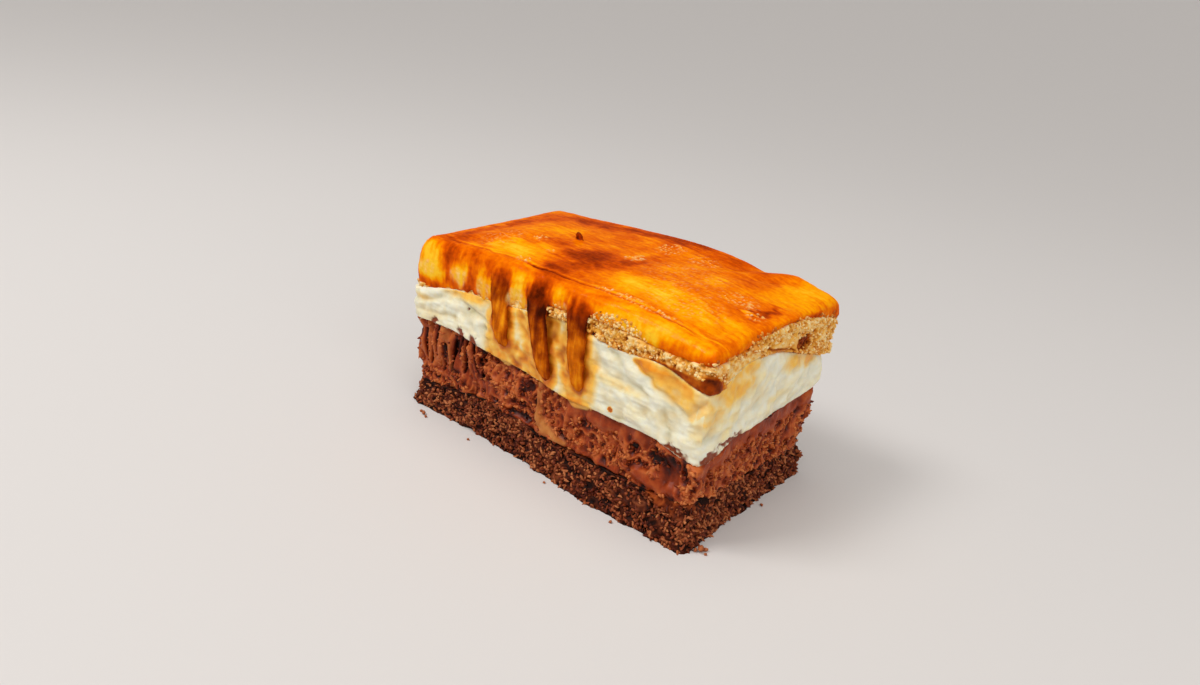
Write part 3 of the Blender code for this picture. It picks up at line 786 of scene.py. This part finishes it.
def vanilla_rule(place, facing):
    """Give the relief of the thin sponge, and its marks: crumb (painted light and shade), soak, film
    and open.
    """
    side = 1.0 - abs(facing.z)
    rise = max(threads(place, 1.7, 1.9, 5.0), 0.8 * threads(place, 1.1, 2.2, 9.0))
    lump = noise.noise(place / 2.2)
    soak = film = puddle = slab = gap = 0.0
    if facing.y < -0.3:
        film = limit((FILM_ENDS - place.x) / 4.0 + lump)
        puddle = run_cover(place.x, place.z + 0.5 * lump, FRONT_PUDDLE)
        soak = strongest(place.x, place.z, FRONT_SOAKS)
    if facing.x > 0.3:
        puddle = max(puddle, soft_spot(place.y, place.z + 0.5 * lump, *RIGHT_PUDDLE))
        slab = limit(2.0 * soft_spot(place.y, place.z, *RIGHT_SLAB))
        film = limit(2.5 * soft_spot(place.y + lump, place.z + lump, *RIGHT_FILM))
        gap = limit(2.0 * soft_spot(place.y + lump, place.z + lump, *RIGHT_HOLE))
        gap = max(gap, run_cover(place.y, place.z + 0.4 * lump, RIGHT_CRACK))
        soak = max(soak, strongest(place.y, place.z, RIGHT_SOAKS))
    puddle = limit(puddle * 2.0)
    soak = max(soak, 0.9 - distance_to(cream_tree, place) / 1.6)
    soak = limit(max(soak + soak * 0.8 * noise.noise(place / 1.4), puddle))
    smooth = max(film, puddle, 0.8 * slab)
    wet_light = 0.7 - 0.42 * puddle + 0.3 * puddle * lump
    out = side * ((1.0 - smooth) * (1.2 * rise - 0.6 + 0.8 * lump) + 0.5 * puddle - 0.5 * film)
    out += CLOSE_GAP * abs(facing.z) - 0.9 * gap
    # Painted light and shade: the crumb mark is high on raised lumps and low in gaps, the hole and
    # the crack; the hole and the crack also take the soaked colour as painted shade.
    lit = limit(rise * 0.8 + 0.3 * lump + 0.1) * (1.0 - smooth) + smooth * wet_light
    open_here = max(0.0, side - 0.3) * (0.5 + rise) * (1.0 - max(smooth, gap))
    return out, limit(lit - 0.45 * gap), max(soak, 0.8 * gap), film, open_here


def vanilla_finish():
    """Pale tan crumb with painted light on lumps and painted shade in gaps, amber where soaked, and
    creamy where drowned.
    """
    material, tree, shader = new_material("vanilla_crumb")
    fine = grain(tree, 900.0, 600.0)
    lit = mottled(tree, fine, mark_of(tree, "crumb"), 0.5)
    dry = shade(tree, lit, ((0.0, "742800"), (0.3, "CC7614"), (0.65, "F2B248"), (1.0, "FCE2A4")))
    wet = shade(tree, lit, ((0.0, "3E0E00"), (0.35, "9E3C00"), (0.75, "E07C10"), (1.0, "F6AE44")))
    drowned = shade(tree, fine.outputs["Mottle"], ((0.3, "E08A24"), (0.5, "F4C266"),
                                                   (0.7, "F8E2B0")))
    crumbly = blend_of(tree, mark_of(tree, "soak"), dry, wet)
    colour = blend_of(tree, mark_of(tree, "film"), crumbly, drowned)
    finish(tree, shader, colour, bump(tree, fine, 0.5, 0.3), 0.35, 0.06, 0.06, (1.0, 0.6, 0.3))
    return material


vanilla = fine_copy("vanilla_sponge", "vanilla_sponge_crumb", VANILLA_CELL)
work_over(vanilla, vanilla_rule, ("crumb", "soak", "film", "open"))
vanilla.data.materials.append(vanilla_finish())
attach(vanilla, "root")
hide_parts("vanilla_sponge")

VANILLA_CRUMBS = ((0.8, 0.34, 0.1), (1.1, 0.30, 0.15), (0.7, 0.38, 0.05))
vanilla_crumbs = scatter("vanilla_sponge_crumbs", vanilla, VANILLA_CRUMBS, 2.0, 31, (0.55, 1.2))
vanilla_crumbs.data.materials.append(loose_crumb(
    "loose_vanilla_crumb", ((0.0, "8A3400"), (0.3, "D48018"), (0.55, "F4B852"), (1.0, "FDE4A8")),
    0.42, "crumb"))
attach(vanilla_crumbs, "root")


# ------------------------------------------------------------------ The toasted yolk glaze
# Egg-yolk glaze is poured on, sugared and burnt with an iron: glossy yellow to red-brown, with
# fine streaks along the bar, pits and bubbles, and three runs of caramel down the front.

GLAZE_CELL = 0.36
# Burnt and pale places of the top, as place, reach and strength.
TOP_BURNS = (
    ((-25.2, 20.3), (15.0, 6.5), 0.65), ((-36.5, 13.6), (5.0, 8.0), 0.45),
    ((-1.2, -9.0), (11.0, 8.5), 0.85), ((-3.1, -20.8), (8.0, 7.0), 0.75),
    ((5.6, -2.2), (3.5, 6.0), 0.4), ((-2.0, 23.5), (18.0, 6.0), 0.7),
    ((19.6, 24.1), (14.0, 8.0), 0.35), ((33.0, 18.1), (8.0, 9.0), 0.25),
    ((-16.1, -5.1), (6.0, 6.0), 0.3), ((-38.6, -18.8), (9.0, 6.0), 0.45),
    ((44.6, -0.2), (2.2, 8.5), 0.7), ((-41.5, 0.0), (3.5, 26.0), 0.45),
    ((6.6, 6.7), (2.0, 9.0), 0.25),
)
TOP_PALES = (
    ((-21.2, -17.3), (11.0, 7.0), 0.7), ((22.1, -14.7), (19.0, 8.0), 0.6),
    ((44.4, 18.6), (9.0, 15.0), 0.56), ((-25.0, 2.8), (8.0, 9.0), 0.3),
    ((39.7, -15.9), (9.0, 8.0), 0.4), ((26.3, 2.8), (16.0, 9.0), 0.2),
    ((43.5, -4.7), (2.2, 1.8), 0.9), ((-22.0, -8.1), (1.6, 1.4), 0.5),
    ((18.1, 16.2), (6.0, 3.0), 0.2), ((34.0, -26.5), (19.0, 4.0), 0.5),
)
# The same for the side over the front, which lies in front of here along Y.
GLAZE_FRONT = -18.0
SIDE_BURNS = (
    ((-37.0, 47.0), (2.2, 8.0), 0.5), ((-34.5, 50.0), (2.0, 6.0), 0.3),
    ((-27.5, 48.0), (2.0, 8.0), 0.55), ((-31.0, 51.5), (14.0, 3.5), 0.4),
    ((-22.0, 49.0), (3.0, 5.0), 0.3), ((-16.2, 45.0), (3.4, 6.5), 1.15),
    ((-2.8, 46.0), (4.8, 8.0), 1.35), ((10.9, 45.2), (6.4, 5.8), 1.4),
    ((41.0, 46.4), (11.0, 2.8), 0.4), ((-45.0, 38.8), (9.0, 1.2), 0.7),
    ((-32.0, 41.0), (9.0, 1.2), 0.6), ((-46.0, 51.5), (8.0, 3.0), 0.5),
)
SIDE_PALES = (
    ((-45.0, 45.0), (7.5, 7.5), 1.2), ((-10.3, 48.5), (4.6, 5.0), 0.9),
    ((2.6, 49.0), (3.6, 5.0), 0.8), ((25.0, 49.5), (14.0, 5.0), 1.0),
    ((-32.0, 44.0), (5.0, 3.0), 1.1), ((-10.3, 44.5), (4.0, 3.0), 1.1),
    ((-22.5, 44.0), (3.5, 3.5), 0.9), ((31.0, 47.0), (8.0, 3.0), 0.3),
    ((-43.0, 41.5), (6.0, 2.0), 0.7), ((43.0, 50.6), (12.0, 4.2), 0.6),
)
# The left end and the back are cloudy, and darker above this height.
LEFT_END = -46.0
BACK_FROM = 10.0
SHOULDER_BURNT = 46.0
# Near the front edge the top ends at this height.
SHOULDER_FROM = -25.0
SHOULDER_HEIGHT = 49.0
# Foam that cream has made under the edge of the glaze, as place, reach and strength. It stays
# under one height of the front.
SIDE_FOAM = (
    ((-32.0, 43.0), (4.2, 2.2), 0.6), ((-10.3, 43.4), (4.0, 3.0), 0.75),
    ((-22.8, 42.8), (2.6, 2.6), 0.65), ((-45.0, 42.4), (4.4, 2.2), 0.5),
    ((4.6, 46.0), (2.2, 1.6), 0.5),
)
FOAM_FRONT = -24.0
FOAM_TOP = 50.0
# Fine pale bubbles on the top, partly standing in for painted glints, as place, reach and
# strength.
TOP_FROTH = (
    ((5.4, 14.9), (4.5, 5.5), 0.8), ((4.1, 0.8), (3.0, 4.0), 0.8), ((-21.9, -8.0), (2.6, 2.0), 1.0),
    ((-12.6, -13.2), (2.0, 1.6), 0.8), ((44.0, -4.5), (2.8, 2.4), 1.0),
    ((23.1, -22.7), (14.0, 1.7), 1.0), ((37.3, -0.8), (6.0, 5.0), 0.7),
    ((29.9, -12.9), (13.0, 8.0), 0.35), ((16.3, 14.8), (5.0, 5.0), 0.5),
    ((-13.6, -21.9), (3.5, 1.6), 1.0), ((-30.8, -13.2), (6.0, 8.0), 0.4),
    ((21.4, -0.2), (14.0, 10.0), 0.25),
)
# A crease runs along the top behind the front edge, sunk and darkened with painted shade: its
# line along Y, where along X it starts faintly, where it is deep from, and where it ends. A
# painted highlight, a pale line behind it, starts at one place.
CREASE_LINE = -23.4
CREASE_START = -44.0
CREASE_DEEP = -16.0
CREASE_END = 43.0
CREASE_HIGHLIGHT_START = -40.0
# The caramel runs: where each leaves the shoulder, where its tip hangs, its width there, and how
# much of that width it has at the shoulder.
DRIPS = (
    ((-17.8, 50.7), (-13.2, 29.3), 5.8, 1.1), ((-4.4, 51.0), (2.2, 25.4), 5.2, 1.45),
    ((9.8, 51.2), (12.8, 26.7), 4.8, 1.5),
)
# Above what height each is darker, and how much more it is burnt all over.
DRIP_DARK_ABOVE = (39.0, 35.5, 38.5)
DRIP_BURNT = (0.0, 0.12, 0.02)
# They are amber below one height and yolk above it. Below the other only they are left.
AMBER_BELOW = 48.0
RUNS_ALONE_BELOW = 40.0
# The burnt flake: where it stands, how far it reaches, and how high its foot is.
FLAKE_PLACE = (-15.0, 0.2)
FLAKE_REACH = 2.4
FLAKE_FOOT = 53.75
# Crumb climbs over the edge right of here, and also between two of the runs. It climbs highest
# round one place along X, given as a spot.
RIM_CRUMB_FROM = 14.5
RIM_CRUMB_BETWEEN = (2.0, 7.0)
RIM_CRUMB_HIGH = ((22.0, 0.0), (9.0, 1.0))
# How far the lower edge sags at the left, and where that ends along X.
SAG = 2.2
SAG_ENDS = -3.0
# How far it sinks onto the crumb everywhere else, how far it tucks in there, and where the
# right end starts.
SAG_EVERYWHERE = 0.45
TUCK = 0.35
RIGHT_END = 42.0

vanilla_tree = layer_tree("vanilla_sponge")


def toasting(across, up, burns, pales):
    """Give how far burnt places darken the glaze at a place, less what pale ones take away."""
    total = 0.0
    for centre, reach, strength in burns:
        total += strength * soft_spot(across, up, centre, reach)
    for centre, reach, strength in pales:
        total -= strength * soft_spot(across, up, centre, reach)
    return total


def drip_toast(place):
    """Give how dark a run of caramel is at a place, or nothing where there is no run."""
    for run, dark_above, burnt in zip(DRIPS, DRIP_DARK_ABOVE, DRIP_BURNT):
        (top_x, top_z), (tip_x, tip_z), width, neck = run
        share = (place.z - tip_z) / (top_z - tip_z)
        middle = tip_x + (top_x - tip_x) * share
        half = width / 2 * (1.0 + (neck - 1.0) * limit(share)) + 0.2
        across = (place.x - middle) / half
        if abs(across) > 1.0 or share > 0.95:
            continue
        striation = noise.noise(Vector((place.x / 0.5, 0.0, place.z / 5.0)))
        blotch = noise.noise(Vector((place.x / 2.0, 6.0, place.z / 3.5)))
        rim = fade(abs(across), 0.55, 0.3) + limit(1.0 - (place.z - tip_z) / 1.2)
        upper = fade(place.z, dark_above, 7.0)
        dark = 0.3 + burnt + 0.3 * limit(rim) * (1.0 - 0.6 * upper) + 0.36 * upper
        return dark + 0.12 * striation + 0.36 * blotch
    return None


def froth_at(place, across, up, brush, top):
    """Give how much pale foam lies at a place: soft on the front; on the top fine bubbles, partly
    painted glints.
    """
    froth_and_glints = 0.0
    if place.y < FOAM_FRONT and place.z < FOAM_TOP:
        for centre, reach, strength in SIDE_FOAM:
            patch = soft_spot(across, up, centre, reach)
            froth_and_glints = max(froth_and_glints, strength * limit(1.5 * patch) * limit(0.8 + 1.4 * brush))
    # On the top the pale bubbles also stand in for painted glints.
    if top > 0.5:
        bubbly = limit(5.0 * noise.noise(place / 0.55) - 1.1)
        for centre, reach, strength in TOP_FROTH:
            patch = limit(2.0 * soft_spot(place.x, place.y, centre, reach))
            froth_and_glints = max(froth_and_glints, strength * patch * bubbly)
    return froth_and_glints


def crease_at(place, top):
    """Give the crease, sunk and with painted shade, the painted highlight of a pale line behind it,
    and the foam along it.
    """
    behind = place.y - CREASE_LINE - 0.8 * noise.noise(Vector((place.x / 5, 0.0, 8.0)))
    depth = fade(place.x, CREASE_DEEP, 3.0)
    depth += 0.4 * fade(place.x, CREASE_START, 6.0) * (place.x < CREASE_DEEP)
    depth *= fade(place.x, CREASE_END, -5.0)
    crease = limit(1.0 - abs(behind) / 0.45) * top * depth
    pale = limit(1.0 - abs(behind - 0.9) / 0.5) * top * fade(place.x, CREASE_HIGHLIGHT_START, 3.0)
    return crease, pale, limit(1.0 - abs(behind) / 2.0) * top


def rim_crumb_at(place, facing, uneven):
    """Give how thick crumb from below climbs over the edge of the glaze at a place."""
    start, end = RIM_CRUMB_BETWEEN
    between = start < place.x < end and place.y < SHOULDER_FROM
    if facing.z <= -0.7 or not (place.x > RIM_CRUMB_FROM or between):
        return 0.0
    climb = 1.3 + uneven + 2.4 * soft_spot(place.x, 0.0, *RIM_CRUMB_HIGH)
    return limit((climb - distance_to(vanilla_tree, place)) / 1.4)


def glaze_rule(place, facing):
    """Give the relief of the glaze, and its marks: toast, amber, froth, level and open."""
    top = limit(facing.z * 1.6)
    if place.y < SHOULDER_FROM:
        top *= fade(place.z, SHOULDER_HEIGHT, 2.0)
    cloud = noise.noise(place / 6.0)
    # The strokes of the iron run along the bar, and bend a little on the way.
    bent = place.y + 3.0 * noise.noise(place / 17.0) + 0.12 * place.x
    streak = noise.noise(Vector((place.x / 8, bent / 1.1, place.z / 6)))
    fibre = noise.noise(Vector((place.x / 2.5, bent / 0.5, place.z / 2)))
    across = place.x + 2.4 * noise.noise(place / 3.0) + 2.0 * streak
    along = place.y + 2.2 * noise.noise(place / 4.0 + Vector((5.0, 5.0, 0.0))) + 1.2 * streak
    on_top = 1.35 * toasting(across, along, TOP_BURNS, TOP_PALES)
    # On the sides it has run down in streaks.
    around = place.x if place.y < GLAZE_FRONT else place.x + place.y
    brush = noise.noise(Vector((around / 1.1, 0.0, place.z / 5)))
    wide = noise.noise(Vector((around / 2.5, 0.0, place.z / 5)))
    across = place.x + 0.8 * brush + 1.2 * wide
    up = place.z + 1.5 * noise.noise(Vector((place.x / 1.8, 4.0, 0.0)))
    on_side = 0.22 * brush + 0.3 * wide + 0.3 * noise.noise(place / 1.6)
    if place.y < GLAZE_FRONT:
        on_side += toasting(across, up, SIDE_BURNS, SIDE_PALES)
    if place.y > BACK_FROM or place.x < LEFT_END:
        on_side += 0.9 * cloud + 0.5 * fade(place.z, SHOULDER_BURNT, 5.0)
    toast = 0.44 + 0.13 * cloud + 0.36 * (top * on_top + (1 - top) * on_side)
    toast += top * (0.09 * streak + 0.05 * fibre)
    crease, pale, foam = crease_at(place, top)
    # Painted shade darkens the crease, and a painted highlight lightens the pale line behind it.
    toast += 0.3 * crease
    toast -= 0.22 * pale
    bubbles = noise.noise(place / 0.7)
    out = 0.12 * noise.noise(place / 3.0) + 0.05 * bubbles + 0.12 * foam * bubbles - 0.2 * crease
    amber = 0.0
    if facing.y < -0.1 or place.z < RUNS_ALONE_BELOW:
        run = drip_toast(place)
        if run is not None:
            amber = fade(place.z, AMBER_BELOW, -4.0)
            toast += (run - toast) * amber
            out += amber * 0.25 * noise.noise(Vector((place.x / 1.1, place.y, place.z / 5.0)))
    apart = math.hypot(place.x - FLAKE_PLACE[0], place.y - FLAKE_PLACE[1])
    if apart < FLAKE_REACH and place.z > FLAKE_FOOT:
        toast = max(toast, 0.88 + 0.2 * noise.noise(place / 0.8))
    froth_and_glints = froth_at(place, across, up, brush, top)
    out += 0.4 * froth_and_glints * top
    rim_open = rim_crumb_at(place, facing, 1.6 * cloud + 0.8 * fibre)
    return out, limit(toast), amber, froth_and_glints, top, rim_open


def fibres(tree, squeeze):
    """Draw fine threads of egg yolk, stretched along the direction that is squeezed."""
    place = wire(tree, "ShaderNodeTexCoord").outputs["Object"]
    drawn = wire(tree, "ShaderNodeMapping", {"Vector": place, "Scale": squeeze})
    return wire(tree, "ShaderNodeTexNoise", {"Vector": drawn.outputs[0], "Scale": 1000.0,
                                             "Detail": 3.0}).outputs["Fac"]


def glaze_finish():
    """Glossy egg yolk and caramel, from yellow through orange to red-brown."""
    material, tree, shader = new_material("toasted_yolk_glaze")
    fine = grain(tree, 900.0, 700.0)
    toast = mottled(tree, fine, mark_of(tree, "toast"), 0.3)
    toast = combine(tree, "MULTIPLY_ADD", fine.outputs["Speck"], -0.05, toast)
    down = fibres(tree, (1.0, 1.0, 0.2))
    along = fibres(tree, (0.22, 1.0, 1.0))
    level = mark_of(tree, "level")
    fibre = combine(tree, "MULTIPLY_ADD", combine(tree, "SUBTRACT", along, down), level, down)
    toast = combine(tree, "MULTIPLY_ADD", fibre, 0.34, combine(tree, "SUBTRACT", toast, 0.17))
    yolk = shade(tree, toast, ((0.0, "FFC428"), (0.18, "FFA400"), (0.4, "F07400"),
                               (0.58, "D65200"), (0.78, "A23400"), (1.0, "5A1800")))
    caramel = shade(tree, toast, ((0.0, "F49A14"), (0.3, "D26A06"), (0.55, "9C3E00"),
                                  (0.8, "681E00"), (1.0, "3A0E00")))
    # Pale foam, which on the top also stands in for painted glints.
    foam = shade(tree, fine.outputs["Mottle"], ((0.32, "EC9A28"), (0.5, "F4C060"), (0.68, "FADFA6")))
    burnt = blend_of(tree, mark_of(tree, "amber"), yolk, caramel)
    colour = blend_of(tree, mark_of(tree, "froth_and_glints"), burnt, foam)
    finish(tree, shader, colour, bump(tree, fine, 0.35, 0.35), 0.35, 0.0, 0.1, (1.5, 0.6, 0.1))
    shader.inputs["Coat Weight"].default_value = 0.07
    shader.inputs["Coat Roughness"].default_value = 0.15
    return material


def let_sag(piece):
    """Let the edge sink onto the crumb, and hang in scallops over the front left of the runs."""
    ambers = piece.data.attributes["amber"].data
    for vert in piece.data.vertices:
        place = vert.co / MM
        if (place.y > FRONT_FROM and place.x < RIGHT_END) or ambers[vert.index].value > 0.0:
            continue
        reach = 3.0 if place.x < SAG_ENDS else 1.2
        hang = limit(1.0 - distance_to(vanilla_tree, place) / reach)
        scallop = limit(0.5 + noise.noise(Vector((place.x / 2.4, 3.0, 0.0))))
        sag = SAG_EVERYWHERE + SAG * scallop * fade(place.x, SAG_ENDS, -3.0)
        vert.co.z -= sag * hang * MM
        vert.co.y += TUCK * hang * (place.y < FRONT_FROM) * MM
        vert.co.x -= TUCK * hang * (place.x > RIGHT_END) * MM


glaze = fine_copy("yolk_glaze", "yolk_glaze_toasted", GLAZE_CELL, hidden_below=45.0)
work_over(glaze, glaze_rule, ("toast", "amber", "froth_and_glints", "level", "open"))
let_sag(glaze)
glaze.data.materials.append(glaze_finish())
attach(glaze, "root")
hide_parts("yolk_glaze")

RIM_CRUMBS = ((0.9, 0.38, 0.1), (1.2, 0.34, 0.15), (0.7, 0.42, 0.05))
rim_crumbs = scatter("vanilla_crumbs_on_glaze", glaze, RIM_CRUMBS, 2.2, 41, (0.6, 1.2))
rim_crumbs.data.materials.append(loose_crumb(
    "soaked_vanilla_crumb", ((0.0, "7E2C00"), (0.3, "C4660E"), (0.55, "E69E38"), (1.0, "F8D690")),
    0.38, "open"))
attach(rim_crumbs, "root")


# ------------------------------------------------------------------ The stage
# A plain pale floor, soft studio light from above and the camera at the photograph's angle.
# Lengths here are in metres, except for the camera's place.

FLOOR_HALF = 4.0
FLOOR_LEVEL_TO = 0.5
FLOOR_SWEEP = 0.12


def make_floor():
    """Lay a wide plain floor that is level round the cake and sweeps up far behind it."""
    mesh = bmesh.new()
    bmesh.ops.create_grid(mesh, x_segments=80, y_segments=80, size=FLOOR_HALF)
    for vert in mesh.verts:
        beyond = max(0.0, vert.co.xy.length - FLOOR_LEVEL_TO)
        vert.co.z = FLOOR_SWEEP * beyond ** 2
    floor = add_object("floor", keep_mesh(mesh, "floor"))
    material, _, shader = new_material("pale_floor")
    shader.inputs["Base Color"].default_value = tint("D9D4D0")
    shader.inputs["Roughness"].default_value = 0.8
    floor.data.materials.append(material)


def soft_light(name, place, size, power):
    """Hang a square softbox that faces the cake."""
    data = bpy.data.lights.new(name, "AREA")
    data.size = size
    data.energy = power
    light = add_object(name, data)
    light.location = place
    light.rotation_euler = (Vector((0, 0, 0.02)) - Vector(place)).to_track_quat("-Z", "Y").to_euler()


make_floor()
soft_light("key_softbox", (-0.35, -0.45, 0.75), 0.32, 3.6)
soft_light("fill_softbox", (0.7, -0.3, 0.5), 0.6, 1.8)

overhead = add_object("overhead", bpy.data.lights.new("overhead", "SUN"))
overhead.data.energy = 1.1
overhead.data.angle = math.radians(70.0)
overhead.rotation_euler = (math.radians(12.0), 0.0, math.radians(20.0))

world = bpy.data.worlds.new("studio")
world.use_nodes = True
world.node_tree.nodes["Background"].inputs["Color"].default_value = tint("E8E6E4")
world.node_tree.nodes["Background"].inputs["Strength"].default_value = 0.33
bpy.context.scene.world = world
bpy.context.scene.view_settings.view_transform = "Standard"

CAMERA_PLACE = (129.6, -172.15, 116.6)
CAMERA_AZIMUTH = math.radians(37.734)
CAMERA_PITCH = math.radians(22.35)
CAMERA_ROLL = math.radians(-6.70)
CAMERA_LENS = 25.5

camera_data = bpy.data.cameras.new("camera")
camera_data.lens = CAMERA_LENS
camera_data.sensor_width = 36.0
camera_data.clip_start = 0.01
camera = add_object("camera", camera_data)
forward = Vector((-math.sin(CAMERA_AZIMUTH) * math.cos(CAMERA_PITCH),
                  math.cos(CAMERA_AZIMUTH) * math.cos(CAMERA_PITCH), -math.sin(CAMERA_PITCH)))
level_right = Vector((math.cos(CAMERA_AZIMUTH), math.sin(CAMERA_AZIMUTH), 0.0))
level_up = level_right.cross(forward)
right = level_right * math.cos(CAMERA_ROLL) - level_up * math.sin(CAMERA_ROLL)
up = level_right * math.sin(CAMERA_ROLL) + level_up * math.cos(CAMERA_ROLL)
camera.matrix_world = Matrix.Translation(Vector(CAMERA_PLACE) * MM) @ Matrix(
    (right, up, -forward)).transposed().to_4x4()
bpy.context.scene.camera = camera
